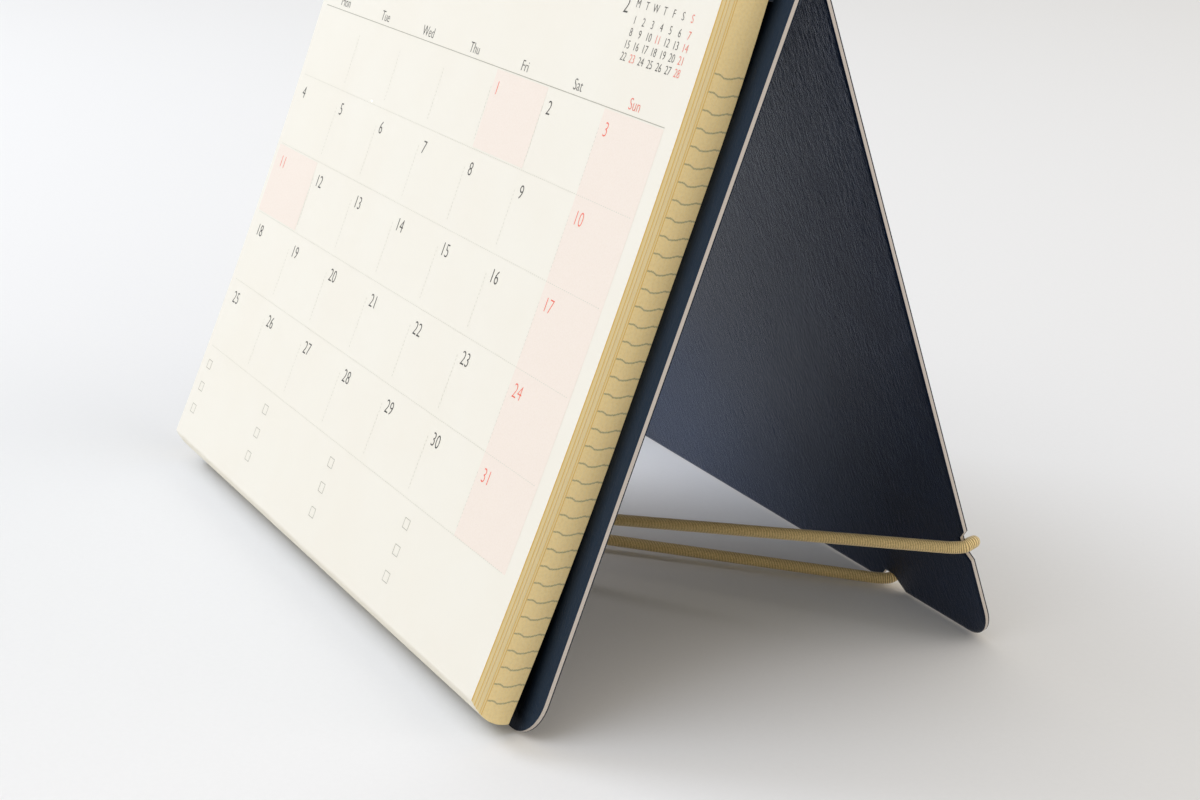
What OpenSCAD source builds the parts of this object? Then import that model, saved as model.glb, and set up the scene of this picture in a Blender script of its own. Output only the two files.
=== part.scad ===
// Tent-shaped desk calendar: two card boards joined at the head, a page block on the
// front board, and an elastic loop that keeps the rear board from sliding out.
// X runs along the width, Y runs from the pages to the rear board, Z is up.
// The origin is on the table, under the middle of the whole calendar.

/* [Boards] */
// Width of each board
board_w = 219; // [180:1:280]
// Height of each board, measured along its slope
board_len = 176; // [140:1:230]
// Thickness of the grey core of a board
core_t = 1.1; // [0.8:0.1:2.4]
// Thickness of the navy paper on each face of a board
paper_t = 0.15; // [0.1:0.05:0.3]
// Radius of the two lower corners of a board
corner_r = 9.5; // [4:0.5:18]

/* [Stand] */
// Lean of the front board from upright, in degrees
front_lean = 21; // [16:0.5:28]
// Distance from the head of the front board to the fold line
front_head_gap = 2.9; // [2:0.1:5]
// Distance from the head of the rear board to the fold line
rear_head_gap = 1.1; // [0.6:0.1:2]
// How far the hinge strip reaches down each board
hinge_reach = 7; // [4:0.5:20]
// Thickness of the hinge strip
hinge_t = 0.35; // [0.2:0.05:0.6]
// Thickness of the glue between the hinge strip and each board
glue_t = 0.05; // [0.03:0.01:0.1]

/* [Page block] */
// Width of the pages
page_w = 204; // [150:1:216]
// Thickness of the block where it lies flat on its board
block_t = 11.1; // [5:0.1:20]
// Distance from the foot of the board to the lowest page edge
foot_gap = 1.6; // [1:0.1:8]
// Depth in the block at which its foot reaches lowest
foot_crest = 5; // [2:0.5:10]
// Radius of the bowed foot of the block
foot_bow_r = 8; // [6:0.25:20]
// Height on the slope at which the front page is flattest
front_flat = 100; // [60:1:140]
// Radius of the bow of the front page
front_bow_r = 2000; // [1500:50:6000]
// Height on the slope from which the block lies on its board
lies_from = 69; // [30:1:75]
// Distance below the head down to which the block has lifted off its board
lifts_below_head = 45; // [20:1:60]
// Radius of the lower stretch that lifts off the board
lower_bow_r = 1080; // [800:20:4000]
// Radius of the upper stretch that lifts off the board
upper_bow_r = 585; // [500:5:3000]

/* [Head binding] */
// How far the binding reaches down the front page
binding_reach = 8; // [4:0.5:20]
// Thickness of the binding cloth
binding_t = 0.35; // [0.2:0.05:0.6]

/* [Elastic] */
// Diameter of the elastic cord
cord_d = 3; // [2:0.1:4]
// Play between the cord and the board it hooks on
cord_play = 0.3; // [0.2:0.05:0.5]
// Height of the side notch of the rear board
side_notch_up = 28.4; // [20:0.2:60]
// Depth of the side notch
side_notch_depth = 2.3; // [1.5:0.1:4]
// Distance from the side of the rear board to the middle of its foot notch
foot_notch_in = 42; // [30:0.5:80]
// Room along the slope between the cord in the foot notch and the foot of the rear board
foot_notch_room = 0.7; // [0.5:0.1:2.5]
// Distance from the side of the front board to the middle of the two eyelets
eyelet_in = 156; // [100:1:170]
// Height of the middle of the two eyelets
eyelet_up = 7.4; // [7:0.2:14]
// Distance between the two eyelets
eyelet_spread = 10.6; // [9:0.2:16]
// Slant of the line through the two eyelets, in degrees
eyelet_slant = 20; // [0:1:30]
// Radial wall of the eyelet barrel
eyelet_wall = 0.3; // [0.2:0.05:0.6]
// How far an eyelet rim reaches past the barrel
rim_reach = 1.2; // [0.8:0.1:1.6]
// Thickness of an eyelet rim
rim_t = 0.3; // [0.2:0.05:0.4]
// How far the flat clip that holds the two cord ends reaches past the eyelets
clip_reach = 4; // [3:0.5:6]
// Width of the clip
clip_w = 6; // [4:0.2:8]
// Thickness of the clip
clip_t = 0.8; // [0.5:0.1:0.9]

/* [Hidden] */
$fn = 64;

board_t = core_t + 2 * paper_t;
near_x = board_w / 2;

// The rear board leans as far as its own head gap needs for its foot to reach the table
rear_lean = acos((board_len + front_head_gap) * cos(front_lean) / (board_len + rear_head_gap));
foot_spread = (board_len + front_head_gap) * sin(front_lean)
            + (board_len + rear_head_gap) * sin(rear_lean);

cord_r = cord_d / 2;
wrap_r = cord_r + cord_play;
notch_floor = cord_d + 2 * cord_play;
foot_notch_depth = foot_notch_room + cord_d + cord_play;
barrel_r = cord_r + cord_play;
eyelet_offset = eyelet_spread / 2 * [cos(eyelet_slant), sin(eyelet_slant)];
eyelet_middle = [near_x - eyelet_in, eyelet_up];
eyelet_places = [eyelet_middle + eyelet_offset, eyelet_middle - eyelet_offset];
hole_play = 0.05;
hole_r = barrel_r + eyelet_wall + hole_play;
fold_angle = front_lean + rear_lean;

// Faces of the page block, as heights n over the back face of the front board, at slope height s
lies_to = board_len - lifts_below_head;
function sagitta(d, r) = d * d / (2 * r);
function front_n(s) = board_t + block_t + sagitta(s - front_flat, front_bow_r);
function back_n(s) = board_t
    + (s < lies_from ? sagitta(lies_from - s, lower_bow_r)
    : s > lies_to ? sagitta(s - lies_to, upper_bow_r) : 0);
function foot_s(n) = foot_gap + sagitta(n - board_t - foot_crest, foot_bow_r);
foot_back_n = back_n(foot_gap);
foot_front_n = front_n(foot_s(front_n(foot_gap)));

// Evenly spaced values from a up to, but without, b
function steps(a, b, count) = [for (i = [0 : count - 1]) a + (b - a) * i / count];

// The binding covers the head of the block from here up, and both use the same two heights
bound_from = board_len - binding_reach;
bound_heights = [bound_from, board_len];
block_outline = concat(
    [for (s = concat(steps(foot_s(foot_back_n), lies_from, 6), [lies_from])) [-back_n(s), s]],
    [for (s = concat(steps(lies_to, bound_from, 5), bound_heights)) [-back_n(s), s]],
    [[-front_n(board_len), board_len]],
    [for (s = steps(bound_from, foot_s(foot_front_n), 14)) [-front_n(s), s]],
    [for (n = steps(foot_front_n, foot_back_n, 8)) [-n, foot_s(n)]]
);

// The calendar is centred in depth on its whole reach, from the bowed front page to the cord
front_reach = max([for (p = block_outline) -p[0] * cos(front_lean) - p[1] * sin(front_lean)]);
rear_reach = (board_t + cord_d + cord_play) * cos(rear_lean)
           - (foot_notch_depth - wrap_r) * sin(rear_lean);
front_foot_y = (front_reach - foot_spread - rear_reach) / 2;
rear_foot_y = front_foot_y + foot_spread;

// Points in the calendar's frame from places on a board: x, height s up its slope, and
// n towards the pages on the front board, or m away from the pages on the rear board
function on_front(x, s, n) = [
    x,
    front_foot_y + s * sin(front_lean) - n * cos(front_lean),
    s * cos(front_lean) + n * sin(front_lean)
];
function on_rear(x, s, m) = [
    x,
    rear_foot_y - s * sin(rear_lean) + m * cos(rear_lean),
    s * cos(rear_lean) + m * sin(rear_lean)
];
function yz(p) = [p[1], p[2]];

module in_front() translate([0, front_foot_y, 0]) rotate([-front_lean, 0, 0]) children();
module in_rear() translate([0, rear_foot_y, 0]) rotate([rear_lean, 0, 0]) children();

// A sheet on the front board whose back is n over the board's back face
module front_sheet(n, t) in_front() translate([0, -n, 0]) rotate([90, 0, 0]) linear_extrude(t) children();

// A sheet on the rear board whose inner face is m behind the board's inner face
module rear_sheet(m, t) in_rear() translate([0, m + t, 0]) rotate([90, 0, 0]) linear_extrude(t) children();

// A profile in the Y-Z plane drawn out along X, centred
module along_x(length) translate([-length / 2, 0, 0]) rotate([90, 0, 90]) linear_extrude(length) children();

// Outline of a board, square at the head and rounded at the foot
module board_outline() {
    translate([-board_w / 2, corner_r]) square([board_w, board_len - corner_r]);
    translate([corner_r - board_w / 2, 0]) square([board_w - 2 * corner_r, corner_r]);
    for (side = [-1, 1]) translate([side * (near_x - corner_r), corner_r]) circle(corner_r);
}

// A notch with 45 degree sides, cut upwards from the X axis
module notch(depth) {
    polygon([
        [-notch_floor / 2 - depth, 0], [-notch_floor / 2, depth],
        [notch_floor / 2, depth], [notch_floor / 2 + depth, 0],
        [notch_floor / 2 + depth, -1], [-notch_floor / 2 - depth, -1]
    ]);
}

module front_outline() {
    difference() {
        board_outline();
        for (place = eyelet_places) translate(place) circle(hole_r);
    }
}

module rear_outline() {
    difference() {
        board_outline();
        translate([near_x, side_notch_up]) rotate(90) notch(side_notch_depth);
        translate([near_x - foot_notch_in, 0]) notch(foot_notch_depth);
    }
}

module front_board() color("lightgray") front_sheet(paper_t, core_t) front_outline();

module front_face_paper() color("midnightblue") front_sheet(paper_t + core_t, paper_t) front_outline();

module front_back_paper() color("midnightblue") front_sheet(0, paper_t) front_outline();

module rear_board() color("lightgray") rear_sheet(paper_t, core_t) rear_outline();

module rear_inner_paper() color("midnightblue") rear_sheet(0, paper_t) rear_outline();

module rear_outer_paper() color("midnightblue") rear_sheet(paper_t + core_t, paper_t) rear_outline();

module page_block() color("cornsilk") in_front() along_x(page_w) polygon(block_outline);

// Cloth over the head of the block, glued to the front page, the board's face and the board's head
module head_binding() {
    color("midnightblue") in_front() along_x(page_w) polygon([
        [-front_n(bound_from), bound_from], [-front_n(board_len), board_len],
        [-back_n(board_len), board_len], [-back_n(bound_from), bound_from],
        [-board_t, bound_from], [-board_t, board_len], [0, board_len], [0, board_len + binding_t],
        [-front_n(board_len) - binding_t, board_len + binding_t],
        [-front_n(bound_from) - binding_t, bound_from]
    ]);
}

// Folded strip inside the ridge, glued to both boards and creased on the fold line
module hinge_strip() {
    glued = board_len - hinge_reach;
    ridge = yz(on_front(0, board_len + front_head_gap, 0));
    half_turn = (front_lean - rear_lean) / 2;
    // Points in the crease where the two outer and the two inner faces of the strip meet
    outer_crease = ridge - glue_t / sin(fold_angle / 2) * [sin(half_turn), cos(half_turn)];
    inner_crease = ridge - (glue_t + hinge_t) / sin(fold_angle / 2) * [sin(half_turn), cos(half_turn)];
    color("midnightblue") along_x(board_w) polygon([
        yz(on_front(0, glued, -glue_t)), outer_crease, yz(on_rear(0, glued, -glue_t)),
        yz(on_rear(0, glued, -glue_t - hinge_t)), inner_crease, yz(on_front(0, glued, -glue_t - hinge_t))
    ]);
}

// Corners of the cord's route: clip, out of the near eyelet, across to the side notch, round it,
// down behind the rear board, round the foot notch, and back to the far eyelet and the clip
cord_out = 4;
upper_end = eyelet_places[0];
lower_end = eyelet_places[1];
cord_route = [
    on_front(upper_end[0], upper_end[1], board_t + rim_t),
    on_front(upper_end[0], upper_end[1], -cord_out),
    on_rear(near_x - side_notch_depth + wrap_r, side_notch_up, -wrap_r / 2),
    on_rear(near_x - side_notch_depth + wrap_r, side_notch_up, board_t + wrap_r),
    on_rear(near_x - foot_notch_in, foot_notch_depth - wrap_r, board_t + wrap_r),
    on_rear(near_x - foot_notch_in, foot_notch_depth - wrap_r, -wrap_r / 2),
    on_front(lower_end[0], lower_end[1], -cord_out),
    on_front(lower_end[0], lower_end[1], board_t + rim_t)
];
// How far before and after each inner corner the bend starts and ends
bend_reach = [cord_r * 2, wrap_r / 2, wrap_r, wrap_r, wrap_r / 2, cord_r * 2];
bend_steps = 4;
ring_every = 9;

function unit(v) = v / norm(v);
// A curve round corner b of the line from a to c, as a quadratic arc
function bend(a, b, c, reach) = let (from = b + reach * unit(a - b), to = b + reach * unit(c - b)) [
    for (t = [0 : 1 / bend_steps : 1])
        (1 - t) * (1 - t) * from + 2 * t * (1 - t) * b + t * t * to
];
// Inner points of the straight run from a to b
function run(a, b) = let (count = floor(norm(b - a) / ring_every))
    count < 2 ? [] : [for (i = [1 : count - 1]) a + (b - a) * i / count];

cord_bends = [
    for (i = [1 : len(cord_route) - 2])
        bend(cord_route[i - 1], cord_route[i], cord_route[i + 1], bend_reach[i - 1])
];
cord_points = concat(
    [cord_route[0]],
    [for (i = [0 : len(cord_bends) - 1]) each concat(
        i == 0 ? [] : run(cord_bends[i - 1][bend_steps], cord_bends[i][0]),
        cord_bends[i]
    )],
    [cord_route[len(cord_route) - 1]]
);

// Sweep of a round section along points, kept square to them; up is never in line with the route
module tube(points, r, sides = 8) {
    last = len(points) - 1;
    up = [-0.4, 0.2, 0.9];
    rings = [for (i = [0 : last])
        let (
            along = unit(points[min(i + 1, last)] - points[max(i - 1, 0)]),
            across = unit(cross(up, along)),
            over = cross(along, across)
        )
        for (turn = [0 : 360 / sides : 359])
            points[i] + r * (cos(turn) * across + sin(turn) * over)
    ];
    walls = [for (i = [0 : last - 1], k = [0 : sides - 1]) let (l = (k + 1) % sides)
        [i * sides + k, (i + 1) * sides + k, (i + 1) * sides + l, i * sides + l]];
    polyhedron(rings, concat(
        walls,
        [[for (k = [0 : sides - 1]) k]],
        [[for (k = [sides - 1 : -1 : 0]) last * sides + k]]
    ));
}

module elastic_loop() color("tan") tube(cord_points, cord_r);

// Two rolled metal eyelets, each a barrel through the board with a rim on each face
module cord_eyelets() {
    through = board_t + 2 * rim_t;
    color("silver") in_front() for (place = eyelet_places)
        translate([place[0], rim_t, place[1]]) rotate([90, 0, 0]) difference() {
            union() {
                cylinder(r = barrel_r + eyelet_wall, h = through);
                for (z = [0, board_t + rim_t])
                    translate([0, 0, z]) cylinder(r = hole_r + rim_reach, h = rim_t);
            }
            translate([0, 0, -1]) cylinder(r = barrel_r, h = through + 2);
        }
}

// Flat metal clip over the front rims, under the block, where both cord ends stop
module cord_clip() {
    half = eyelet_spread / 2 + clip_reach - clip_w / 2;
    color("silver") front_sheet(board_t + rim_t, clip_t) translate(eyelet_middle) rotate(eyelet_slant) {
        square([2 * half, clip_w], center = true);
        for (side = [-1, 1]) translate([side * half, 0]) circle(clip_w / 2);
    }
}

front_board();
front_face_paper();
front_back_paper();
rear_board();
rear_inner_paper();
rear_outer_paper();
page_block();
head_binding();
hinge_strip();
elastic_loop();
cord_eyelets();
cord_clip();
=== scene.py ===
import math
import random

import bmesh
import bpy
from mathutils import Matrix, Vector


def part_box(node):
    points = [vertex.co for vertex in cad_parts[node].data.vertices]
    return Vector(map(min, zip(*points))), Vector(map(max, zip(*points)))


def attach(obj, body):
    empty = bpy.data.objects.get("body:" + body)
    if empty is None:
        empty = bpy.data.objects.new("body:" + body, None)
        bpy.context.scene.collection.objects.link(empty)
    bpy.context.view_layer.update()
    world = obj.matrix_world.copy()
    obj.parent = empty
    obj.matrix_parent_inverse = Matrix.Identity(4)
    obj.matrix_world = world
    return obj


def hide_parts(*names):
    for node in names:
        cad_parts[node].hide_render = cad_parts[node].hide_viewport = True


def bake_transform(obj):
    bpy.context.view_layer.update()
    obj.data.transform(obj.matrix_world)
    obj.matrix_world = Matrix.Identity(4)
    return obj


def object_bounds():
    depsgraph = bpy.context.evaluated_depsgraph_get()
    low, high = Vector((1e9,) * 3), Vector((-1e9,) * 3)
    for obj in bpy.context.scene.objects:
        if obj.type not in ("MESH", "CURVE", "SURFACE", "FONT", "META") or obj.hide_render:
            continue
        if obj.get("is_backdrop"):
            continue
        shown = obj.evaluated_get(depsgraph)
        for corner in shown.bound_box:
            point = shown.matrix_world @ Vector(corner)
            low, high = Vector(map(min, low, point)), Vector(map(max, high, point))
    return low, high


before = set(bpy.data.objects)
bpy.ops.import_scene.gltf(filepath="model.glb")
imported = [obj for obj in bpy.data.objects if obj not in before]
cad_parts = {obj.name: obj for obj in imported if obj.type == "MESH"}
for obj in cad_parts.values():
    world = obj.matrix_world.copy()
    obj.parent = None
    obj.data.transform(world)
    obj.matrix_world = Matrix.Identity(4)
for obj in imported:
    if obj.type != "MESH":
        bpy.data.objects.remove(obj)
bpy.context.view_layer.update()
mm = 0.001
draw = random.Random(7)

bpy.context.scene.view_settings.view_transform = "Standard"


def alone(obj):
    bpy.ops.object.select_all(action="DESELECT")
    obj.select_set(True)
    bpy.context.view_layer.objects.active = obj


def settle(obj):
    # moves the object's place, turn and size into its mesh
    alone(obj)
    bpy.ops.object.transform_apply(location=True, rotation=True, scale=True)


def finishWith(obj, kind, **settings):
    alone(obj)
    modifier = obj.modifiers.new(kind.title(), kind)
    for name, value in settings.items():
        setattr(modifier, name, value)
    bpy.ops.object.modifier_apply(modifier=modifier.name)


def pick(obj, kind, test):
    # selects the faces, edges or corners that pass the test, in edit mode
    bpy.ops.mesh.select_mode(type=kind)
    bpy.ops.mesh.select_all(action="DESELECT")
    work = bmesh.from_edit_mesh(obj.data)
    work.normal_update()
    for part in {"FACE": work.faces, "EDGE": work.edges, "VERT": work.verts}[kind]:
        if test(part):
            part.select_set(True)
    work.select_flush_mode()
    bmesh.update_edit_mesh(obj.data)


def middle(part):
    return sum((v.co for v in part.verts), Vector()) / len(part.verts)


def joined(objs, name):
    bpy.ops.object.select_all(action="DESELECT")
    for obj in objs:
        obj.select_set(True)
    bpy.context.view_layer.objects.active = objs[0]
    if len(objs) > 1:
        bpy.ops.object.join()
    objs[0].name = name
    objs[0].data.name = name
    return objs[0]


def block(name, low, high):
    # a box between two corners, in mm
    bpy.ops.mesh.primitive_cube_add(size=1)
    obj = bpy.context.object
    obj.name = name
    obj.scale = [(b - a) * mm for a, b in zip(low, high)]
    obj.location = [(a + b) / 2 * mm for a, b in zip(low, high)]
    settle(obj)
    return obj


stand = {
    "boardWidth": 219, "boardLength": 176, "coreThick": 1.1, "paperThick": 0.15,
    "cornerRadius": 9.5, "frontLean": 21, "frontHeadGap": 2.9, "rearHeadGap": 1.1,
}
boardThick = stand["coreThick"] + 2 * stand["paperThick"]
boardLength = stand["boardLength"]
nearX = stand["boardWidth"] / 2
frontLean = math.radians(stand["frontLean"])
rearLean = math.acos((boardLength + stand["frontHeadGap"]) * math.cos(frontLean) / (boardLength + stand["rearHeadGap"]))
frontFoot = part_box("front_back_paper")[1].y / mm - boardLength * math.sin(frontLean)
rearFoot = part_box("rear_inner_paper")[0].y / mm + boardLength * math.sin(rearLean)
ridge = Vector((0, frontFoot + (boardLength + stand["frontHeadGap"]) * math.sin(frontLean),
                (boardLength + stand["frontHeadGap"]) * math.cos(frontLean)))


def onFront(x, up, out):
    # x, height up the slope and distance out of the tent from the board's inner face, in mm
    return Vector((x, frontFoot + up * math.sin(frontLean) - out * math.cos(frontLean),
                   up * math.cos(frontLean) + out * math.sin(frontLean))) * mm


def onRear(x, up, out):
    return Vector((x, rearFoot - up * math.sin(rearLean) + out * math.cos(rearLean),
                   up * math.cos(rearLean) + out * math.sin(rearLean))) * mm


def lay(obj, board):
    # a piece drawn flat, X across, Y up the slope and Z towards the pages' side, goes onto its board
    if board == "front":
        turn, foot = math.pi / 2 - frontLean, frontFoot
    else:
        turn, foot = math.pi / 2 + rearLean, rearFoot
    obj.rotation_euler = (turn, 0, 0)
    obj.location = (0, foot * mm, 0)
    settle(obj)


def linear(hexColour):
    # an sRGB hex colour as the linear colour that the shader takes
    parts = [int(hexColour[i:i + 2], 16) / 255 for i in (1, 3, 5)]
    return tuple(c / 12.92 if c <= 0.04045 else ((c + 0.055) / 1.055) ** 2.4 for c in parts) + (1,)


def addNode(tree, kind, inputs=None, **settings):
    # adds a node; inputs holds plain values, or outputs of other nodes to link
    node = tree.nodes.new(kind)
    for name, value in settings.items():
        setattr(node, name, value)
    for key, value in (inputs or {}).items():
        if isinstance(value, bpy.types.NodeSocket):
            tree.links.new(value, node.inputs[key])
        else:
            node.inputs[key].default_value = value
    return node


def newMaterial(name, roughness, **values):
    material = bpy.data.materials.new(name)
    material.use_nodes = True
    tree = material.node_tree
    shader = tree.nodes["Principled BSDF"]
    shader.inputs["Roughness"].default_value = roughness
    for key, value in values.items():
        shader.inputs[key.replace("_", " ")].default_value = value
    return material, tree, shader


def objectNoise(tree, stretch, scale, detail=3.0, roughness=0.55):
    # noise on Object coordinates; scale counts lumps a metre before the stretch
    place = addNode(tree, "ShaderNodeTexCoord")
    mapping = addNode(tree, "ShaderNodeMapping", {"Vector": place.outputs["Object"], "Scale": stretch})
    return addNode(tree, "ShaderNodeTexNoise", {
        "Vector": mapping.outputs["Vector"], "Scale": scale, "Detail": detail, "Roughness": roughness})


def bumped(tree, shader, height, distance, strength=1.0):
    bump = addNode(tree, "ShaderNodeBump", {"Height": height, "Distance": distance, "Strength": strength})
    tree.links.new(bump.outputs["Normal"], shader.inputs["Normal"])


def mixColours(tree, share, first, second):
    # mixes two colours by a share; each may be a value or a socket
    node = tree.nodes.new("ShaderNodeMix")
    node.data_type = "RGBA"
    for key, value in ((0, share), (6, first), (7, second)):
        if isinstance(value, bpy.types.NodeSocket):
            tree.links.new(value, node.inputs[key])
        else:
            node.inputs[key].default_value = value
    return node.outputs[2]


def ramp(tree, value, low, high):
    # a soft step from 0 to 1 between two values
    return addNode(tree, "ShaderNodeMapRange", {
        "Value": value, "From Min": low, "From Max": high}, interpolation_type="SMOOTHSTEP").outputs["Result"]


def maths(tree, operation, first, second=0.0):
    return addNode(tree, "ShaderNodeMath", {0: first, 1: second}, operation=operation).outputs[0]


coverLook = {
    "navy": "#050B17", "navyLight": "#0A1424", "gloss": 0.26, "roughness": 0.26,
    "sheen": 0.09, "sheenBlue": "#2C7CDC", "sheenRoughness": 0.5, "glint": "#90BBFF",
    # the front face's two colours and the span between them paint shade beside the block and a blue sheen towards the
    # board's edge
    "faceShadeBlack": "#06080B", "faceSheenNavy": "#263446", "faceGloss": 0.12, "faceRoughness": 0.5,
    "shadeTo": 101.5, "sheenFrom": 107.5, "grainAcross": 0.9, "grainAlong": 2.6, "grainDeep": 0.2,
}


def navyPaper(name, gloss, roughness):
    # embossed cover paper, dyed navy and sealed: a soft blue sheen at grazing angles, and a
    # grain of fine wavy creases that run up the board
    material, tree, shader = newMaterial(name, roughness)
    shader.inputs["Specular IOR Level"].default_value = gloss
    shader.inputs["Specular Tint"].default_value = linear(coverLook["glint"])
    across, along = 1 / coverLook["grainAcross"], 1 / coverLook["grainAlong"]
    creases = objectNoise(tree, (across, along, along), 1000, 3.0, 0.6)
    creases.inputs["Distortion"].default_value = 0.9
    clouds = objectNoise(tree, (1, 1, 1), 60, 2.0)
    patchy = maths(tree, "MULTIPLY", creases.outputs["Fac"], maths(tree, "ADD", clouds.outputs["Fac"], 0.3))
    bumped(tree, shader, patchy, coverLook["grainDeep"] * mm, 0.95)
    return material, tree, shader, clouds


def coverPaper():
    # the covers of both boards: almost black in the shade, navy where light falls on them
    material, tree, shader, clouds = navyPaper("embossedCoverPaper", coverLook["gloss"], coverLook["roughness"])
    shader.inputs["Sheen Weight"].default_value = coverLook["sheen"]
    shader.inputs["Sheen Roughness"].default_value = coverLook["sheenRoughness"]
    shader.inputs["Sheen Tint"].default_value = linear(coverLook["sheenBlue"])
    share = maths(tree, "MULTIPLY", ramp(tree, clouds.outputs["Fac"], 0.35, 0.7), 0.6)
    tree.links.new(mixColours(tree, share, linear(coverLook["navy"]), linear(coverLook["navyLight"])),
                   shader.inputs["Base Color"])
    return material


def coverPaperBesideLeaves():
    # the same paper under the leaves, matt; its colour holds painted shade, black beside the block, and a painted blue
    # sheen, navy towards the board's edge
    material, tree, shader, clouds = navyPaper("coverPaperPaintedShadeAndSheen", coverLook["faceGloss"], coverLook["faceRoughness"])
    place = addNode(tree, "ShaderNodeTexCoord")
    parts = addNode(tree, "ShaderNodeSeparateXYZ", {"Vector": place.outputs["Object"]})
    sideways = maths(tree, "ABSOLUTE", parts.outputs["X"])
    # painted shade and sheen: the colour goes from black beside the block to a lighter navy at the board's edge
    share = ramp(tree, sideways, coverLook["shadeTo"] * mm, coverLook["sheenFrom"] * mm)
    tree.links.new(mixColours(tree, share, linear(coverLook["faceShadeBlack"]), linear(coverLook["faceSheenNavy"])),
                   shader.inputs["Base Color"])
    return material


coreLook = {"grey": "#D0C8C1", "greyDark": "#B3AAA3", "fibre": 0.5}


def greyCore():
    # pressed grey board, cut through: pale and matt, with layers of fibre along the cut
    material, tree, shader = newMaterial("greyBoardCut", 0.85)
    fibres = objectNoise(tree, (1, 4, 4), 1000 / coreLook["fibre"], 4.0, 0.7)
    tone = mixColours(tree, ramp(tree, fibres.outputs["Fac"], 0.4, 0.75),
                      linear(coreLook["grey"]), linear(coreLook["greyDark"]))
    tree.links.new(tone, shader.inputs["Base Color"])
    bumped(tree, shader, fibres.outputs["Fac"], 0.00008, 0.5)
    return material


pageLook = {
    "cream": "#F0ECE1", "creamDeep": "#EFEADE", "gold": "#E6BD58", "pale": "#F5E3B2",
    "noteEdge": "#F9E2A8", "noteEdgeDark": "#F1D99E", "mark": "#A09C7A",
}


def pagePaper():
    # uncoated cream writing paper: matt, almost even, with a faint cloud of fibres
    material, tree, shader = newMaterial("creamWritingPaper", 0.8)
    shader.inputs["Specular IOR Level"].default_value = 0.3
    clouds = objectNoise(tree, (1, 1, 1), 40, 2.0)
    fibres = objectNoise(tree, (1, 1, 1), 2600, 2.0)
    tone = mixColours(tree, ramp(tree, clouds.outputs["Fac"], 0.2, 0.8),
                      linear(pageLook["cream"]), linear(pageLook["creamDeep"]))
    tree.links.new(tone, shader.inputs["Base Color"])
    bumped(tree, shader, fibres.outputs["Fac"], 0.00003, 0.35)
    return material


def calendarEdge():
    # trimmed edges of the calendar leaves, gold in their own colour: each leaf takes a tone from gold to pale, which
    # lies in the second coordinate of its map; the change from leaf to leaf is painted light and shade of the offset
    # edges
    material, tree, shader = newMaterial("trimmedCalendarEdge", 0.8)
    uv = addNode(tree, "ShaderNodeUVMap", uv_map="leaf")
    parts = addNode(tree, "ShaderNodeSeparateXYZ", {"Vector": uv.outputs["UV"]})
    fibres = objectNoise(tree, (1, 1, 1), 1500, 3.0)
    tone = mixColours(tree, parts.outputs["Y"], linear(pageLook["pale"]), linear(pageLook["gold"]))
    wear = maths(tree, "MULTIPLY", fibres.outputs["Fac"], 0.22)
    worn = mixColours(tree, wear, tone, linear(pageLook["noteEdgeDark"]))
    tree.links.new(worn, shader.inputs["Base Color"])
    bumped(tree, shader, fibres.outputs["Fac"], 0.00006, 0.4)
    return material


noteRules = {"pitch": 4.0, "first": 5.8, "last": 151.1, "thick": 0.34}


def noteEdge():
    # trimmed edges of the ruled leaves: where a printed rule runs off a leaf it leaves a grey tick,
    # and the ticks of many leaves make a stepped wavy line
    material, tree, shader = newMaterial("trimmedNoteEdge", 0.8)
    uv = addNode(tree, "ShaderNodeUVMap", uv_map="leaf")
    parts = addNode(tree, "ShaderNodeSeparateXYZ", {"Vector": uv.outputs["UV"]})
    # the map holds the height on the slope and the leaf's own shift, both in mm / 100
    height = maths(tree, "MULTIPLY", parts.outputs["X"], 100.0)
    shift = maths(tree, "MULTIPLY", parts.outputs["Y"], 100.0)
    moved = maths(tree, "SUBTRACT", height, shift)
    steps = maths(tree, "DIVIDE", maths(tree, "SUBTRACT", moved, noteRules["first"]), noteRules["pitch"])
    nearest = maths(tree, "ABSOLUTE", maths(tree, "SUBTRACT", steps, maths(tree, "ROUND", steps)))
    half = noteRules["thick"] / 2 / noteRules["pitch"]
    tick = maths(tree, "SUBTRACT", 1.0, ramp(tree, nearest, half * 0.5, half * 1.6))
    inside = maths(tree, "MULTIPLY", ramp(tree, moved, noteRules["first"] - 1, noteRules["first"] - 0.9),
                   maths(tree, "SUBTRACT", 1.0, ramp(tree, moved, noteRules["last"], noteRules["last"] + 0.1)))
    fibres = objectNoise(tree, (1, 1, 1), 1500, 3.0)
    paper = mixColours(tree, ramp(tree, fibres.outputs["Fac"], 0.35, 0.75),
                       linear(pageLook["noteEdge"]), linear(pageLook["noteEdgeDark"]))
    share = maths(tree, "MULTIPLY", maths(tree, "MULTIPLY", tick, inside), 0.8)
    tree.links.new(mixColours(tree, share, paper, linear(pageLook["mark"])), shader.inputs["Base Color"])
    bumped(tree, shader, fibres.outputs["Fac"], 0.00005, 0.4)
    return material


def ink(name, colour, deep):
    # offset ink on uncoated paper: flat and matt, with a slight mottle where the paper drinks it
    material, tree, shader = newMaterial(name, 0.7)
    mottle = objectNoise(tree, (1, 1, 1), 2500, 2.0)
    tone = mixColours(tree, ramp(tree, mottle.outputs["Fac"], 0.35, 0.7), linear(colour), linear(deep))
    tree.links.new(tone, shader.inputs["Base Color"])
    return material


clothLook = {"navy": "#1E2836", "thread": "#2E3A4B", "threadPitch": 0.45}


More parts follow.
